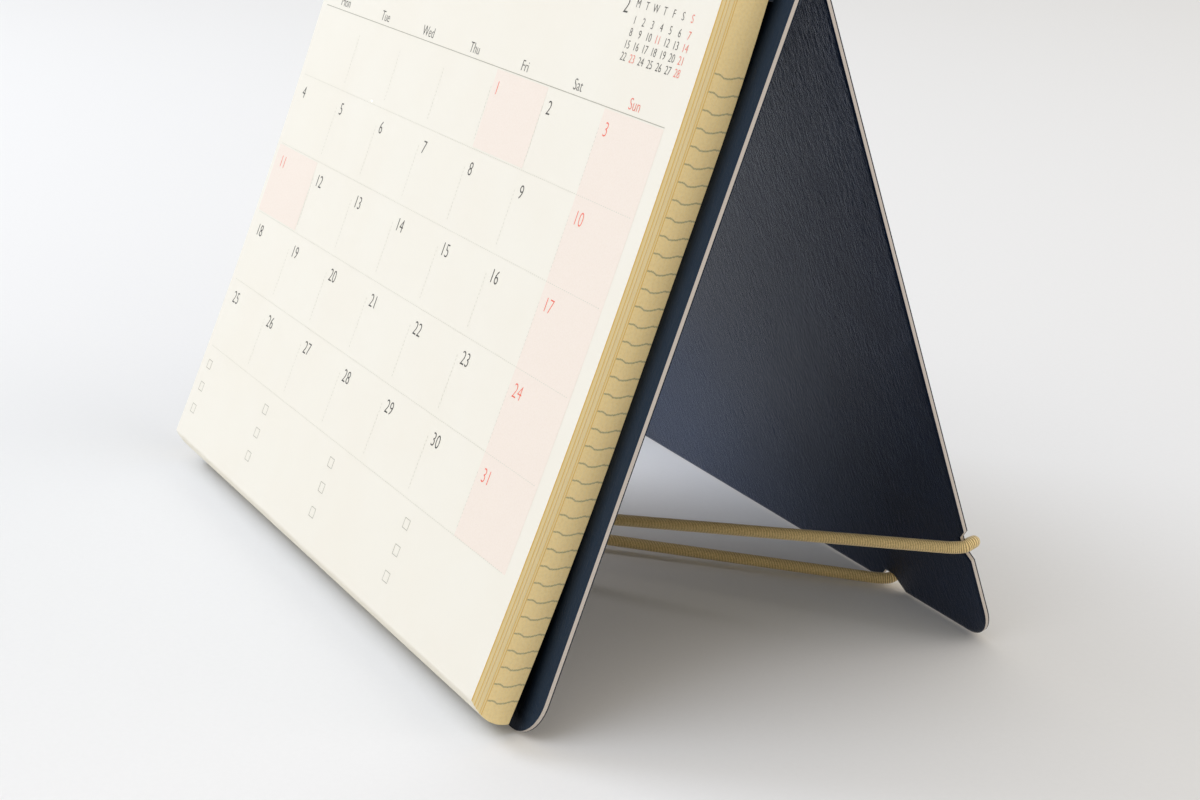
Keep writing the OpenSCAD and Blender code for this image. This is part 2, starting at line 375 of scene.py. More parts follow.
def bindingCloth():
    # woven book cloth: fine navy threads over and under, a little lighter on top of each thread
    material, tree, shader = newMaterial("wovenBookCloth", 0.75)
    shader.inputs["Sheen Weight"].default_value = 0.25
    place = addNode(tree, "ShaderNodeTexCoord")
    mapping = addNode(tree, "ShaderNodeMapping", {"Vector": place.outputs["Object"]})
    spacing = 1 / (clothLook["threadPitch"] * mm)
    warp = addNode(tree, "ShaderNodeTexWave", {"Vector": mapping.outputs["Vector"], "Scale": spacing / 20,
                                               "Distortion": 0.6}, bands_direction="X")
    weft = addNode(tree, "ShaderNodeTexWave", {"Vector": mapping.outputs["Vector"], "Scale": spacing / 20,
                                               "Distortion": 0.6}, bands_direction="Z")
    weave = maths(tree, "MULTIPLY", warp.outputs["Fac"], weft.outputs["Fac"])
    tree.links.new(mixColours(tree, weave, linear(clothLook["navy"]), linear(clothLook["thread"])),
                   shader.inputs["Base Color"])
    bumped(tree, shader, weave, 0.00012, 0.6)
    return material


# the deeper tan is painted shade for the grooves between the ribs
cordLook = {"tan": "#F1D89B", "grooveShade": "#987D48", "ribPitch": 0.42, "yarns": 26}


def wovenElastic():
    # elastic cord wrapped in glossy tan yarn: bright ribs of yarn, and painted shade that darkens the grooves between
    # them to brown
    material, tree, shader = newMaterial("wrappedElasticYarn", 0.6)
    shader.inputs["Sheen Weight"].default_value = 0.35
    uv = addNode(tree, "ShaderNodeUVMap", uv_map="cord")
    parts = addNode(tree, "ShaderNodeSeparateXYZ", {"Vector": uv.outputs["UV"]})
    # the map holds the count of ribs along the cord and the turn round it
    turns = maths(tree, "ADD", parts.outputs["X"], parts.outputs["Y"])
    rib = maths(tree, "COSINE", maths(tree, "MULTIPLY", turns, 2 * math.pi))
    yarns = maths(tree, "COSINE", maths(tree, "MULTIPLY", parts.outputs["Y"], 2 * math.pi * cordLook["yarns"]))
    fibres = objectNoise(tree, (1, 1, 1), 3000, 2.0)
    level = maths(tree, "ADD", maths(tree, "MULTIPLY", rib, 0.4),
                  maths(tree, "ADD", maths(tree, "MULTIPLY", yarns, 0.1), fibres.outputs["Fac"]))
    # painted shade in the grooves follows the ribs; the yarns' pattern and random fibre tone add to it
    tone = mixColours(tree, ramp(tree, level, 0.0, 0.95), linear(cordLook["grooveShade"]), linear(cordLook["tan"]))
    tree.links.new(tone, shader.inputs["Base Color"])
    bumped(tree, shader, maths(tree, "ADD", maths(tree, "MULTIPLY", yarns, 0.3), fibres.outputs["Fac"]), 0.00006, 0.5)
    return material


metalLook = {"bright": "#C9C6BF", "dull": "#A9A69F"}


def rolledMetal():
    # rolled and nickel plated sheet: bright, with fine turning marks
    material, tree, shader = newMaterial("nickelPlatedSheet", 0.28, Metallic=1.0)
    marks = objectNoise(tree, (1, 6, 6), 900, 3.0)
    tone = mixColours(tree, marks.outputs["Fac"], linear(metalLook["bright"]), linear(metalLook["dull"]))
    tree.links.new(tone, shader.inputs["Base Color"])
    bumped(tree, shader, marks.outputs["Fac"], 0.00002, 0.3)
    return material


inkLook = {
    "black": ("#3A3936", "#4C4B46"), "grey": ("#A9A698", "#B8B5A8"), "pale": ("#D3D0C2", "#DEDBCE"),
    "red": ("#EE6A55", "#F07F6C"), "tint": ("#F1E5DA", "#EFE2D6"),
}
materials = {
    "cover": coverPaper(),
    "coverFace": coverPaperBesideLeaves(),
    "core": greyCore(),
    "page": pagePaper(),
    "calendarEdge": calendarEdge(),
    "noteEdge": noteEdge(),
    "black": ink("blackOffsetInk", *inkLook["black"]),
    "grey": ink("greyOffsetInk", *inkLook["grey"]),
    "pale": ink("paleOffsetInk", *inkLook["pale"]),
    "red": ink("redOffsetInk", *inkLook["red"]),
    "tint": ink("pinkOffsetTint", *inkLook["tint"]),
    "cloth": bindingCloth(),
    "elastic": wovenElastic(),
    "metal": rolledMetal(),
}


def dress(obj, *names):
    obj.data.materials.clear()
    for name in names:
        obj.data.materials.append(materials[name])


boardLook = {
    "cornerSteps": 12, "pressRim": 0.35, "pressWidth": 0.6, "pressFace": 0.2, "pressFront": 0.03,
    "pressBack": 0, "turnIn": -0.12, "notchFloor": 3.6, "sideNotchUp": 28.4, "sideNotchDepth": 2.3,
    "footNotchIn": 42, "footNotchDepth": 4.0, "rimRound": 0.03,
}
eyeletLook = {
    "in": 156, "up": 7.4, "spread": 10.6, "slant": 20, "bore": 1.8, "wall": 0.3, "play": 0.05,
    "rimReach": 1.2, "rimThick": 0.3,
}
slant = math.radians(eyeletLook["slant"])
eyeletPlaces = [
    (nearX - eyeletLook["in"] + side * eyeletLook["spread"] / 2 * math.cos(slant),
     eyeletLook["up"] + side * eyeletLook["spread"] / 2 * math.sin(slant)) for side in (1, -1)
]


def notchCutter(depth):
    # a wedge that widens by as much as it is deep, cut upwards from the X axis
    floor = boardLook["notchFloor"]
    cutter = block("notchCutter", (-floor / 2, -1, -4), (floor / 2, depth, 4))
    bpy.ops.object.mode_set(mode="EDIT")
    pick(cutter, "FACE", lambda f: f.normal.y < -0.9)
    bpy.ops.transform.resize(value=((floor + 2 * depth + 2) / floor, 1, 1))
    bpy.ops.object.mode_set(mode="OBJECT")
    return cutter


def cutAway(obj, cutter):
    finishWith(obj, "BOOLEAN", object=cutter, operation="DIFFERENCE", solver="EXACT")
    bpy.data.objects.remove(cutter)


def boardLayer(name, board, low, high, pressHigh, pressLow):
    # one layer of a board; low and high are heights over the board's far face, and its rim is
    # pressed down where the die cut through the stack
    layer = block(name, (-nearX, 0, low - pressLow), (nearX, boardLength, high - pressHigh))
    bpy.ops.object.mode_set(mode="EDIT")
    pick(layer, "EDGE", lambda e: middle(e).y < 0.001 and abs(e.verts[0].co.z - e.verts[1].co.z) > 0.00001)
    bpy.ops.mesh.bevel(offset=stand["cornerRadius"] * mm, segments=boardLook["cornerSteps"], affect="EDGES")
    bpy.ops.object.mode_set(mode="OBJECT")
    if board == "rear":
        side = notchCutter(boardLook["sideNotchDepth"])
        side.rotation_euler = (0, 0, math.pi / 2)
        side.location = (nearX * mm, boardLook["sideNotchUp"] * mm, 0)
        settle(side)
        cutAway(layer, side)
        foot = notchCutter(boardLook["footNotchDepth"])
        foot.location = ((nearX - boardLook["footNotchIn"]) * mm, 0, 0)
        settle(foot)
        cutAway(layer, foot)
    alone(layer)
    bpy.ops.object.mode_set(mode="EDIT")
    for up, press in ((1, pressHigh), (-1, -pressLow)):
        pick(layer, "FACE", lambda f: f.normal.z * up > 0.9)
        bpy.ops.mesh.inset(thickness=boardLook["pressRim"] * mm, depth=press * 0.7 * mm)
        bpy.ops.mesh.inset(thickness=boardLook["pressWidth"] * mm, depth=press * 0.3 * mm)
    bpy.ops.object.mode_set(mode="OBJECT")
    if board == "front":
        radius = eyeletLook["bore"] + eyeletLook["wall"] + eyeletLook["play"]
        for x, up in eyeletPlaces:
            bpy.ops.mesh.primitive_cylinder_add(vertices=32, radius=radius * mm, depth=8 * mm,
                                                location=(x * mm, up * mm, 0))
            cutAway(layer, bpy.context.object)
    finishWith(layer, "BEVEL", width=boardLook["rimRound"] * mm, segments=1, limit_method="ANGLE",
               angle_limit=math.radians(50))
    return layer


def makeBoard(board):
    paper, core = stand["paperThick"], stand["coreThick"]
    face, back, turnIn = boardLook["pressFace"], boardLook["pressBack"], boardLook["turnIn"]
    if board == "front":
        # heights grow towards the pages
        face = boardLook["pressFront"]
        layers = (
            ("front_back_cover", 0, paper, turnIn, back, "cover", "front_back_paper"),
            ("front_core", paper, paper + core, face, turnIn, "core", "front_board"),
            ("front_face_cover", paper + core, boardThick, face, face, "coverFace", "front_face_paper"),
        )
    else:
        # heights are negative outwards, because the drawing's Z looks into the tent
        layers = (
            ("rear_outer_cover", -boardThick, -paper - core, turnIn, back, "cover", "rear_outer_paper"),
            ("rear_core", -paper - core, -paper, face, turnIn, "core", "rear_board"),
            ("rear_inner_cover", -paper, 0, face, face, "cover", "rear_inner_paper"),
        )
    for name, low, high, pressHigh, pressLow, look, node in layers:
        layer = boardLayer(name, board, low, high, pressHigh, pressLow)
        lay(layer, board)
        dress(layer, look)
        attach(layer, board)
        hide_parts(node)


makeBoard("front")
makeBoard("rear")
print("boards: two cores and four cover papers")


leafLook = {
    "width": 204, "blockThick": 11.1, "calendarShare": 3.8, "calendarLeaves": 14, "noteLeaves": 58,
    "footGap": 0.8, "footCrest": 5, "footBow": 8, "frontFlat": 100, "frontBow": 2000,
    "liesFrom": 69, "liesTo": 131, "lowerBow": 1080, "upperBow": 585, "rows": 22,
    "sideSlip": 0.16, "noteSlip": 0.05,
}


def sagitta(distance, radius):
    return distance * distance / (2 * radius)


def frontOut(up):
    # how far the front page stands over the board's inner face at a height up the slope
    return boardThick + leafLook["blockThick"] + sagitta(up - leafLook["frontFlat"], leafLook["frontBow"])


def backOut(up):
    lift = 0
    if up < leafLook["liesFrom"]:
        lift = sagitta(leafLook["liesFrom"] - up, leafLook["lowerBow"])
    elif up > leafLook["liesTo"]:
        lift = sagitta(up - leafLook["liesTo"], leafLook["upperBow"])
    return boardThick + lift


def footUp(out):
    return leafLook["footGap"] + sagitta(out - boardThick - leafLook["footCrest"], leafLook["footBow"])


def curvedSheet(name, low, high, places):
    # a strip from x low to high whose upper face follows the places (height, out), in mm
    bpy.ops.mesh.primitive_grid_add(x_subdivisions=1, y_subdivisions=len(places) - 1, size=1)
    sheet = bpy.context.object
    sheet.name = name
    for v in sheet.data.vertices:
        up, out = places[round((v.co.y + 0.5) * (len(places) - 1))]
        v.co = Vector((low if v.co.x < 0 else high, up, out)) * mm
    return sheet


def leaf(depth, thick, slip, second, edge):
    # depth is 0 at the front page and 1 at the last leaf; slip shortens it at each side
    def out(up):
        return frontOut(up) + (backOut(up) - frontOut(up)) * depth
    foot = footUp(out(leafLook["footGap"]))
    foot = footUp(out(foot))
    rows = leafLook["rows"]
    heights = [foot + (boardLength - foot) * i / rows for i in range(rows + 1)]
    places = [(up, out(up)) for up in heights]
    half = leafLook["width"] / 2
    sheet = curvedSheet("leaf", -half + slip[0], half - slip[1], places)
    uv = sheet.data.uv_layers[0] if sheet.data.uv_layers else sheet.data.uv_layers.new()
    uv.name = "leaf"
    for loop in sheet.data.loops:
        uv.data[loop.index].uv = (sheet.data.vertices[loop.vertex_index].co.y / mm / 100, second)
    dress(sheet, "page", edge)
    finishWith(sheet, "SOLIDIFY", thickness=thick * mm, offset=-1, material_offset_rim=1)
    # the edge at the foot is left uncoloured
    for face in sheet.data.polygons:
        if face.normal.y < -0.5:
            face.material_index = 0
    return sheet


def slipPair(most):
    return (draw.uniform(0, most), draw.uniform(0, most))


def wave(share):
    # how far up the slope a rule prints on the leaf at this share of the note block, in mm
    knots = ((0, 0), (0.2, 0.1), (0.35, -0.35), (0.5, -0.2), (0.65, 0.25), (0.8, 0.8), (1, 1.0))
    for (a, va), (b, vb) in zip(knots, knots[1:]):
        if share <= b:
            return va + (vb - va) * (share - a) / (b - a)
    return knots[-1][1]


total = leafLook["blockThick"]
calendarThick = leafLook["calendarShare"] / leafLook["calendarLeaves"]
noteThick = (total - leafLook["calendarShare"]) / leafLook["noteLeaves"]
# tone of each calendar leaf's edge, from 0 pale to 1 gold: the gold is the edges' own colour, and its change from leaf
# to leaf is painted light and shade
edgeToneAndShade = (1.0, 0.25, 0.05, 0.0, 0.8, 0.1, 0.0, 0.7, 0.05, 0.0, 0.1, 0.75, 0.1, 0.9)
calendar = []
for i in range(leafLook["calendarLeaves"]):
    slip = (0, 0) if i == 0 else slipPair(leafLook["sideSlip"])
    calendar.append(leaf(i * calendarThick / total, calendarThick * 0.96, slip, edgeToneAndShade[i], "calendarEdge"))
monthPage = joined(calendar[:1], "month_page")
calendarLeaves = joined(calendar[1:], "calendar_leaves")
notes = []
for i in range(leafLook["noteLeaves"]):
    share = (i + 0.5) / leafLook["noteLeaves"]
    shift = wave(share) + draw.uniform(-0.06, 0.06)
    depth = (leafLook["calendarShare"] + i * noteThick) / total
    notes.append(leaf(depth, noteThick * 0.97, slipPair(leafLook["noteSlip"]), shift / 100, "noteEdge"))
noteLeaves = joined(notes, "note_leaves")
for piece in (monthPage, calendarLeaves, noteLeaves):
    lay(piece, "front")
    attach(piece, "front")
    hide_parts("page_block")
print("leaves:", leafLook["calendarLeaves"], "calendar and", leafLook["noteLeaves"], "note leaves")


printLook = {
    "left": -98.6, "top": 135.5, "cellWide": 28.0, "cellHigh": 20.58, "lift": 0.02, "film": 0.012,
    "dot": 0.5, "dotPitch": 1.0, "dotThick": 0.16, "box": (2.9, 2.6), "boxLine": 0.14, "right": 6.955,
    "dateSize": 4.9, "daySize": 3.9, "miniSize": 2.75, "narrow": 0.93, "thin": -0.013,
}


def cellPlace(column, row):
    return printLook["left"] + printLook["cellWide"] * column, printLook["top"] - printLook["cellHigh"] * row


def drape(obj, layer):
    # flat print, drawn at its place on the page, follows the page's bow; later layers lie on earlier ones
    settle(obj)
    for v in obj.data.vertices:
        v.co.z += (frontOut(v.co.y / mm) + printLook["lift"] * layer) * mm
    lay(obj, "front")


def writing(words, column, row, size):
    # numbers and weekday letters in a plain thin face, centred at a place in the grid
    bpy.ops.object.text_add()
    text = bpy.context.object
    text.data.body = words
    text.data.align_x = "CENTER"
    text.data.align_y = "CENTER"
    text.data.offset = printLook["thin"]
    text.data.extrude = printLook["film"] / 2 / size
    text.data.resolution_u = 3
    bpy.ops.object.convert(target="MESH")
    text = bpy.context.object
    x, up = cellPlace(column, row)
    text.scale = (size * printLook["narrow"] * mm, size * mm, size * mm)
    text.location = (x * mm, up * mm, 0)
    settle(text)
    return text


def field(columnA, rowA, columnB, rowB):
    # a thin film of ink between two places of the grid, split along the slope so that it can bow
    (left, top), (right, low) = cellPlace(columnA, rowA), cellPlace(columnB, rowB)
    bpy.ops.mesh.primitive_grid_add(x_subdivisions=1, y_subdivisions=max(1, round((top - low) / 6)), size=1)
    film = bpy.context.object
    film.scale = ((right - left) * mm, (top - low) * mm, 1)
    film.location = ((left + right) / 2 * mm, (top + low) / 2 * mm, 0)
    settle(film)
    finishWith(film, "SOLIDIFY", thickness=printLook["film"] * mm, offset=0)
    return film


def dots(column, row, toColumn, toRow):
    # a dotted rule as a row of short dashes
    (x, up), (x2, up2) = cellPlace(column, row), cellPlace(toColumn, toRow)
    across = abs(x2 - x) > abs(up2 - up)
    length = abs(x2 - x) if across else abs(up2 - up)
    long, thin, film = printLook["dot"] / 2, printLook["dotThick"] / 2, printLook["film"] / 2
    half = (long, thin) if across else (thin, long)
    dash = block("dash", (x - half[0], up - half[1], -film), (x + half[0], up + half[1], film))
    step = printLook["dotPitch"] * mm
    finishWith(dash, "ARRAY", count=int(length / printLook["dotPitch"]), use_relative_offset=False,
               use_constant_offset=True, constant_offset_displace=(step, 0, 0) if across else (0, -step, 0))
    return dash


def checkBox(column, row):
    wide, high = printLook["box"]
    x, up = cellPlace(column, row)
    bpy.ops.mesh.primitive_plane_add(size=1)
    box = bpy.context.object
    box.scale = (wide * mm, high * mm, 1)
    box.location = (x * mm, up * mm, 0)
    settle(box)
    bpy.ops.object.mode_set(mode="EDIT")
    bpy.ops.mesh.select_all(action="SELECT")
    bpy.ops.mesh.inset(thickness=printLook["boxLine"] * mm)
    bpy.ops.mesh.delete(type="FACE")
    bpy.ops.object.mode_set(mode="OBJECT")
    finishWith(box, "SOLIDIFY", thickness=printLook["film"] * mm, offset=0)
    return box


redDates = (1, 3, 10, 11, 17, 24, 31)
blackPrint, redPrint, miniBlack, miniRed = [], [], [], []
for date in range(1, 32):
    count = date + 3
    column, row = count % 7, count // 7
    target = redPrint if date in redDates else blackPrint
    inset = 0.12 if date < 10 else 0.16
    target.append(writing(str(date), column + inset, row + 0.24, printLook["dateSize"]))
headPlaces = (0.45, 1.46, 2.47, 3.48, 4.49, 5.47, 6.43)
for day, column in zip(("Mon", "Tue", "Wed", "Thu", "Fri", "Sat", "Sun"), headPlaces):
    target = redPrint if day == "Sun" else blackPrint
    target.append(writing(day, column, -0.112, printLook["daySize"]))
blackPrint.append(writing("2", 5.83, -1.1, 5.4))
for k, letter in enumerate("MTWTFSS"):
    target = miniRed if k == 6 else miniBlack
    target.append(writing(letter, 6.0 + 0.142 * k, -1.147, printLook["miniSize"]))
for date in range(1, 29):
    column, row = (date - 1) % 7, (date - 1) // 7
    target = miniRed if date in (7, 11, 14, 21, 23, 28) else miniBlack
    target.append(writing(str(date), 6.02 + 0.143 * column, -0.97 + 0.135 * row, printLook["miniSize"]))

tints = [field(6, 0.02, printLook["right"], 5), field(4.02, 0.02, 5, 0.98), field(-0.05, 2.02, 0.98, 2.98)]
rules = [dots(0, row, printLook["right"], row) for row in range(1, 6)]
rules += [dots(column, row + 0.25, column, row + 0.95) for column in range(1, 7) for row in range(5)]
boxes = [checkBox(column, row) for column in (0.095, 1.75, 3.465, 5.186) for row in (5.25, 5.58, 5.91)]
headRule = field(0, -0.0045, printLook["right"], 0.0045)
printed = (
    (joined(tints, "print_tints"), "tint", 1), (joined([headRule], "print_head_rule"), "grey", 2),
    (joined(rules, "print_dotted_rules"), "pale", 2), (joined(boxes, "print_check_boxes"), "grey", 2),
    (joined(blackPrint, "print_black_figures"), "black", 2), (joined(redPrint, "print_red_figures"), "red", 2),
    (joined(miniBlack, "print_small_black_figures"), "black", 2),
    (joined(miniRed, "print_small_red_figures"), "red", 2),
)
for piece, look, layer in printed:
    drape(piece, layer)
    dress(piece, look)
    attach(piece, "front")
print("print: grid, figures and boxes")


bindingLook = {
    "reach": 8.0, "thick": 0.35, "round": 0.45,
    "hingeReach": 7.0, "hingeThick": 0.35, "hingeRound": 0.5, "glue": 0.05, "blendHalf": 0.6,
}


def clothStrip(name, half, corners, thick, roundness, offset):
    # cloth drawn along a run of places (y, z) in mm, with its corners rounded, between -half and half
    places = [corners[0]]
    for before, corner, after in zip(corners, corners[1:], corners[2:]):
        a, b, c = (Vector(p) for p in (before, corner, after))
        reach = min(roundness, (a - b).length / 2, (c - b).length / 2)
        start, end = b + (a - b).normalized() * reach, b + (c - b).normalized() * reach
        places += [tuple((1 - t) ** 2 * start + 2 * t * (1 - t) * b + t * t * end) for t in (0, 0.25, 0.5, 0.75, 1)]
    places.append(corners[-1])
    bpy.ops.mesh.primitive_grid_add(x_subdivisions=40, y_subdivisions=len(places) - 1, size=1)
    strip = bpy.context.object
    strip.name = name
    for v in strip.data.vertices:
        y, z = places[round((v.co.y + 0.5) * (len(places) - 1))]
        v.co = Vector((v.co.x * 2 * half, y, z)) * mm
    finishWith(strip, "SOLIDIFY", thickness=thick * mm, offset=offset, use_even_offset=True)
    alone(strip)
    bpy.ops.object.mode_set(mode="EDIT")
    bpy.ops.mesh.select_all(action="SELECT")
    bpy.ops.mesh.normals_make_consistent(inside=False)
    bpy.ops.object.mode_set(mode="OBJECT")
    bpy.ops.object.shade_smooth_by_angle(angle=math.radians(35))
    return strip


boundFrom = boardLength - bindingLook["reach"]
headCloth = clothStrip("head_cloth", leafLook["width"] / 2, [
    (boundFrom, frontOut(boundFrom)), (boardLength, frontOut(boardLength)), (boardLength, 0)
], bindingLook["thick"], bindingLook["round"], 1)
lay(headCloth, "front")
wedge = curvedSheet("spine_wedge", -leafLook["width"] / 2, leafLook["width"] / 2,
                    [(boundFrom, backOut(boundFrom)), (boardLength, backOut(boardLength))])
bpy.ops.object.mode_set(mode="EDIT")
bpy.ops.mesh.select_all(action="SELECT")
bpy.ops.mesh.extrude_region_move(TRANSFORM_OT_translate={"value": (0, 0, -0.001)})
bpy.ops.object.mode_set(mode="OBJECT")
for v in wedge.data.vertices:
    if v.co.z < (backOut(boundFrom) - 0.3) * mm:
        v.co.z = boardThick * mm
alone(wedge)
bpy.ops.object.mode_set(mode="EDIT")
bpy.ops.mesh.select_all(action="SELECT")
bpy.ops.mesh.normals_make_consistent(inside=False)
bpy.ops.object.mode_set(mode="OBJECT")
lay(wedge, "front")
for piece in (headCloth, wedge):
    dress(piece, "cloth")
    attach(piece, "front")
    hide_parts("head_binding")

glued = boardLength - bindingLook["hingeReach"]
foldHalf = (frontLean + rearLean) / 2
lean = (frontLean - rearLean) / 2
drop = bindingLook["glue"] / math.sin(foldHalf)
crease = ridge - drop * Vector((0, math.sin(lean), math.cos(lean)))
hinge = clothStrip("hinge_cloth", nearX, [
    tuple((onFront(0, glued, -bindingLook["glue"]) / mm).yz), tuple(crease.yz),
    tuple((onRear(0, glued, -bindingLook["glue"]) / mm).yz)
], bindingLook["hingeThick"], bindingLook["hingeRound"], -1)
dress(hinge, "cloth")
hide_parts("hinge_strip")
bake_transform(hinge)
print("binding: head cloth, wedge and hinge")


cord = {
    "thick": 3.0, "play": 0.3, "out": 4.0, "sides": 20, "ringEvery": 0.105, "ribDepth": 0.08,
    "bendUpFront": 11.4, "bendUpRear": 27.0, "bendOutRear": 1.5,
}
cordRadius = cord["thick"] / 2
wrap = cordRadius + cord["play"]
rim = eyeletLook["rimThick"]
sideX, footX = nearX - boardLook["sideNotchDepth"] + wrap, nearX - boardLook["footNotchIn"]
sideUp, footUpPlace = boardLook["sideNotchUp"], boardLook["footNotchDepth"] - wrap
(upperX, upperUp), (lowerX, lowerUp) = eyeletPlaces
route = [
    onFront(upperX, upperUp, boardThick + rim), onFront(upperX, upperUp, -cord["out"]),
    onRear(sideX, sideUp, -wrap / 2), onRear(sideX, sideUp, boardThick + wrap),
    onRear(footX, footUpPlace, boardThick + wrap), onRear(footX, footUpPlace, -wrap / 2),
    onFront(lowerX, lowerUp, -cord["out"]), onFront(lowerX, lowerUp, boardThick + rim),
]
# how far before and after each corner the cord bends
bends = [(3, 3), (5, 1.5), (wrap, wrap), (wrap, wrap), (1.5, 5), (3, 3)]


def smoothRoute(corners, reaches, every):
    # the route with its corners rounded, as places an even step apart
    line = [corners[0]]
    for i, (before, after) in enumerate(reaches):
        a, b, c = corners[i], corners[i + 1], corners[i + 2]
        start, end = b + (a - b).normalized() * before * mm, b + (c - b).normalized() * after * mm
        line += [(1 - t) ** 2 * start + 2 * t * (1 - t) * b + t * t * end for t in [k / 16 for k in range(17)]]
    line.append(corners[-1])
    lengths = [0]
    for a, b in zip(line, line[1:]):
        lengths.append(lengths[-1] + (b - a).length)
    count = round(lengths[-1] / (every * mm))
    even, k = [], 0
    for i in range(count + 1):
        at = lengths[-1] * i / count
        while k < len(line) - 2 and lengths[k + 1] < at:
            k += 1
        share = (at - lengths[k]) / max(lengths[k + 1] - lengths[k], 1e-9)
        even.append(line[k].lerp(line[k + 1], min(1, share)))
    return even, lengths[-1]


def wrappedCord(name, line, length):
    # a tube along the line whose skin rises and falls with each turn of yarn
    sides, count = cord["sides"], len(line)
    verts, faces = [], []
    up = Vector((-0.4, 0.2, 0.9))
    across = None
    ribs = length / mm / cordLook["ribPitch"]
    for i, place in enumerate(line):
        along = (line[min(i + 1, count - 1)] - line[max(i - 1, 0)]).normalized()
        across = up.cross(along) if across is None else across - along * across.dot(along)
        across.normalize()
        over = along.cross(across)
        for k in range(sides):
            turn = k / sides
            rise = math.cos(2 * math.pi * (ribs * i / (count - 1) + turn)) * cord["ribDepth"] / 2
            radius = (cordRadius - cord["ribDepth"] / 2 + rise) * mm
            angle = 2 * math.pi * turn
            verts.append(place + (across * math.cos(angle) + over * math.sin(angle)) * radius)
    for i in range(count - 1):
        for k in range(sides):
            beside = (k + 1) % sides
            faces.append((i * sides + k, i * sides + beside, (i + 1) * sides + beside, (i + 1) * sides + k))
    faces.append(tuple(range(sides - 1, -1, -1)))
    faces.append(tuple((count - 1) * sides + k for k in range(sides)))
    mesh = bpy.data.meshes.new(name)
    mesh.from_pydata([tuple(v) for v in verts], [], faces)
    uv = mesh.uv_layers.new(name="cord")
    for poly in mesh.polygons:
        ring = {mesh.loops[i].vertex_index % sides for i in poly.loop_indices}
        seam = 0 in ring and sides - 1 in ring and len(ring) == 2
        for index in poly.loop_indices:
            vertex = mesh.loops[index].vertex_index
            turn = vertex % sides
            if seam and turn == 0:
                turn = sides
            uv.data[index].uv = (ribs * (vertex // sides) / (count - 1), turn / sides)
        poly.use_smooth = len(poly.vertices) == 4
    obj = bpy.data.objects.new(name, mesh)
    bpy.context.scene.collection.objects.link(obj)
    return obj


cordLine, cordLength = smoothRoute(route, bends, cord["ringEvery"])
elastic = wrappedCord("elastic_cord", cordLine, cordLength)
dress(elastic, "elastic")
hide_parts("elastic_loop")
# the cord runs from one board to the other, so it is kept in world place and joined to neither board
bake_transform(elastic)
print("elastic:", round(cordLength / mm, 1), "mm along its route,", len(elastic.data.polygons), "faces")


def turned(name, profile, steps=40):
    # a ring turned from a closed profile of (radius, height), in mm
    bpy.ops.mesh.primitive_circle_add(vertices=len(profile), radius=1)
    ring = bpy.context.object
    ring.name = name
    for v, (radius, height) in zip(ring.data.vertices, profile):
        v.co = Vector((radius, 0, height)) * mm
    bpy.ops.object.mode_set(mode="EDIT")
    bpy.ops.mesh.select_all(action="SELECT")
    bpy.ops.mesh.spin(steps=steps, angle=2 * math.pi, center=(0, 0, 0), axis=(0, 0, 1))
    bpy.ops.mesh.select_all(action="SELECT")
    bpy.ops.mesh.remove_doubles(threshold=0.000002)
    bpy.ops.mesh.normals_make_consistent(inside=False)
    bpy.ops.object.mode_set(mode="OBJECT")
    bpy.ops.object.shade_smooth_by_angle(angle=math.radians(50))
    return ring


def eyeletProfile():
    bore, outer = eyeletLook["bore"], eyeletLook["bore"] + eyeletLook["wall"]
    reach, thick = outer + eyeletLook["rimReach"], eyeletLook["rimThick"]
    low = -thick
    rolled = [
        (bore, low + 0.15), (bore + 0.12, low + 0.03), (bore + 0.35, low), (reach - 0.25, low + 0.02),
        (reach - 0.05, low + 0.12), (reach, low + 0.22), (reach - 0.08, -0.02), (outer + 0.1, -0.01), (outer, 0.02),
    ]
    mirrored = [(r, boardThick - z) for r, z in reversed(rolled)]
    return rolled + mirrored


eyelets = []
for place, name in zip(eyeletPlaces, ("eyelet_upper", "eyelet_lower")):
    eyelet = turned(name, eyeletProfile())
    eyelet.location = (place[0] * mm, place[1] * mm, 0)
    settle(eyelet)
    lay(eyelet, "front")
    eyelets.append(eyelet)

clipLook = {
    "reach": 4.0, "wide": 6.0, "thick": 0.8, "edgeRound": 0.12,
    "rimFlat": 0.18, "rimWide": 1.1, "dish": 0.25, "dishDeep": 0.18,
}
half = eyeletLook["spread"] / 2 + clipLook["reach"]
low = boardThick + eyeletLook["rimThick"]
bpy.ops.mesh.primitive_cylinder_add(vertices=30, radius=clipLook["wide"] / 2 * mm, depth=clipLook["thick"] * mm,
                                    location=(0, 0, (low + clipLook["thick"] / 2) * mm))
clip = bpy.context.object
clip.name = "cord_clamp"
settle(clip)
bpy.ops.object.mode_set(mode="EDIT")
for side in (1, -1):
    # the round plate is pulled out both ways into a long one
    pick(clip, "VERT", lambda v: v.co.x * side > 0)
    bpy.ops.transform.translate(value=(side * (half - clipLook["wide"] / 2) * mm, 0, 0))
pick(clip, "FACE", lambda f: f.normal.z > 0.9)
bpy.ops.mesh.inset(thickness=clipLook["rimFlat"] * mm, depth=0)
bpy.ops.mesh.inset(thickness=clipLook["rimWide"] * mm, depth=0)
bpy.ops.mesh.inset(thickness=clipLook["dish"] * mm, depth=-clipLook["dishDeep"] * mm)
bpy.ops.object.mode_set(mode="OBJECT")
finishWith(clip, "BEVEL", width=clipLook["edgeRound"] * mm, segments=2, limit_method="ANGLE",
           angle_limit=math.radians(50))
bpy.ops.object.shade_smooth_by_angle(angle=math.radians(40))
clip.rotation_euler = (0, 0, slant)
clip.location = ((nearX - eyeletLook["in"]) * mm, eyeletLook["up"] * mm, 0)
settle(clip)
lay(clip, "front")
for piece, node in ((eyelets[0], "cord_eyelets"), (eyelets[1], "cord_eyelets"), (clip, "cord_clip")):
    dress(piece, "metal")
    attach(piece, "front")
    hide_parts(node)
